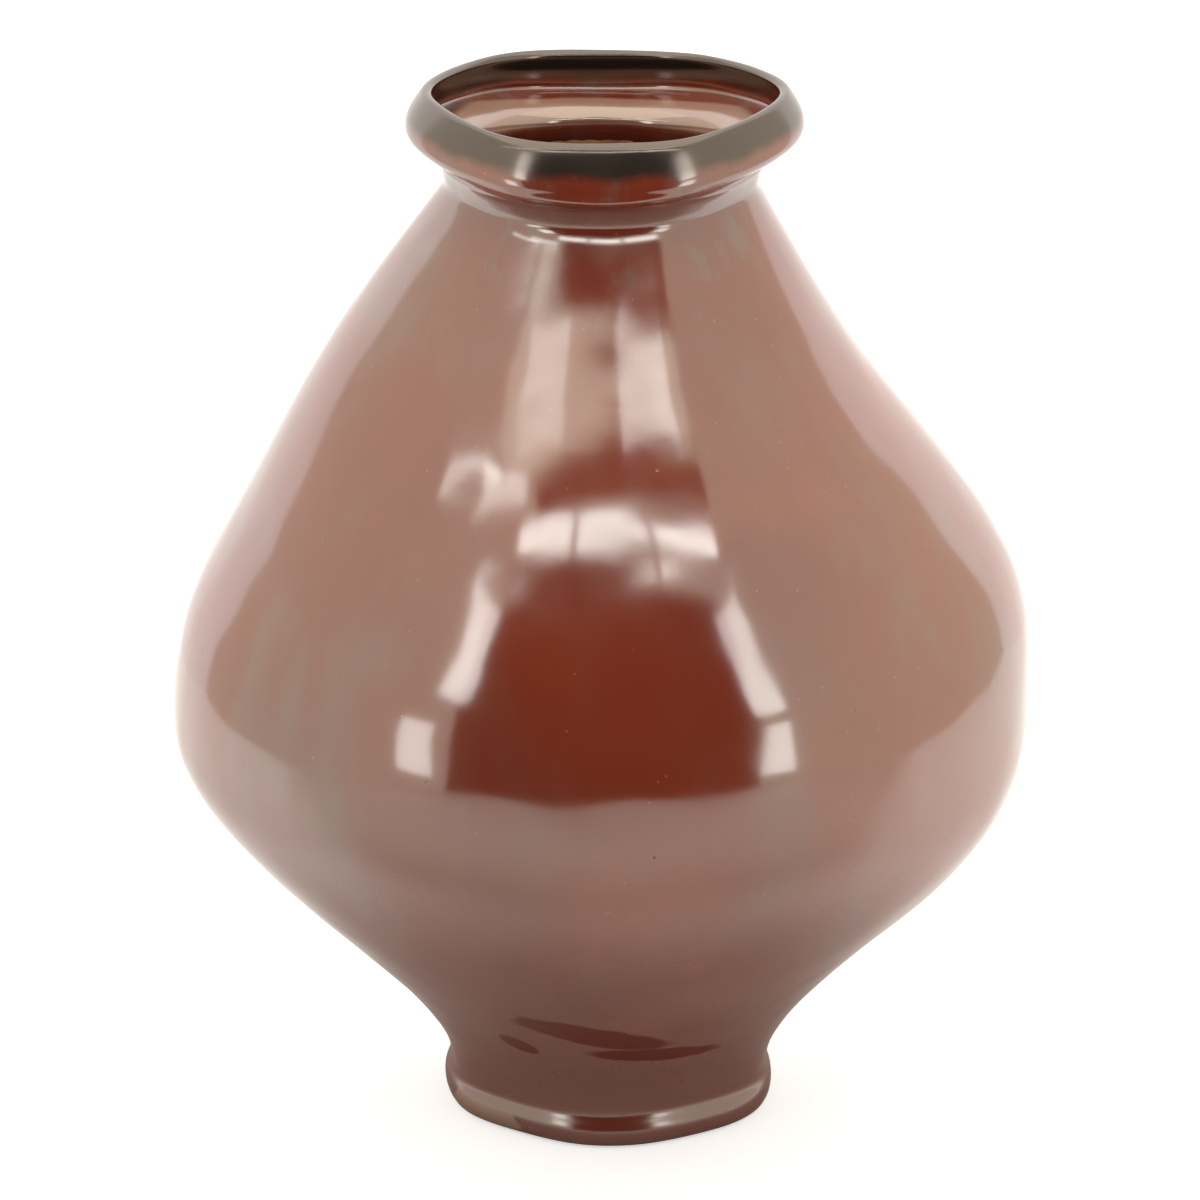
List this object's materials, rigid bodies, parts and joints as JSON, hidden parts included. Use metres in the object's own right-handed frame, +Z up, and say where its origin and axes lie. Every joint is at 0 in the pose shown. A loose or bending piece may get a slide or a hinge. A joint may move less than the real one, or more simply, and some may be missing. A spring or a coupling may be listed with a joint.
{
  "type": "earthenware vase",
  "caption": "Glazed earthenware vase with a flared foot, full belly, sloping shoulder, short neck and cupped rim, for holding flowers or standing on display.",
  "frame": {"origin": "middle of the vase's outline, on the plane the foot ring stands on", "axes": "+Z up through the mouth, -Y towards the front as pictured, +X to the right"},
  "size_m": [0.326, 0.3258, 0.4024],
  "materials": {
    "red_glaze": "red-brown lustre glaze, glossy",
    "dark_glaze": "gunmetal lustre glaze, glossy",
    "foot_glaze": "thin red-brown glaze over bare clay",
    "slip": "fired slip, matt"
  },
  "bodies": {
    "root": {"foot_ring": "foot_glaze", "foot_slip": "slip", "lower_body": "red_glaze", "belly_slip": "slip", "upper_body": "red_glaze", "neck_slip": "slip", "neck_ring": "red_glaze", "rim_slip": "slip", "mouth_rim": "dark_glaze"}
  },
  "joints": []
}
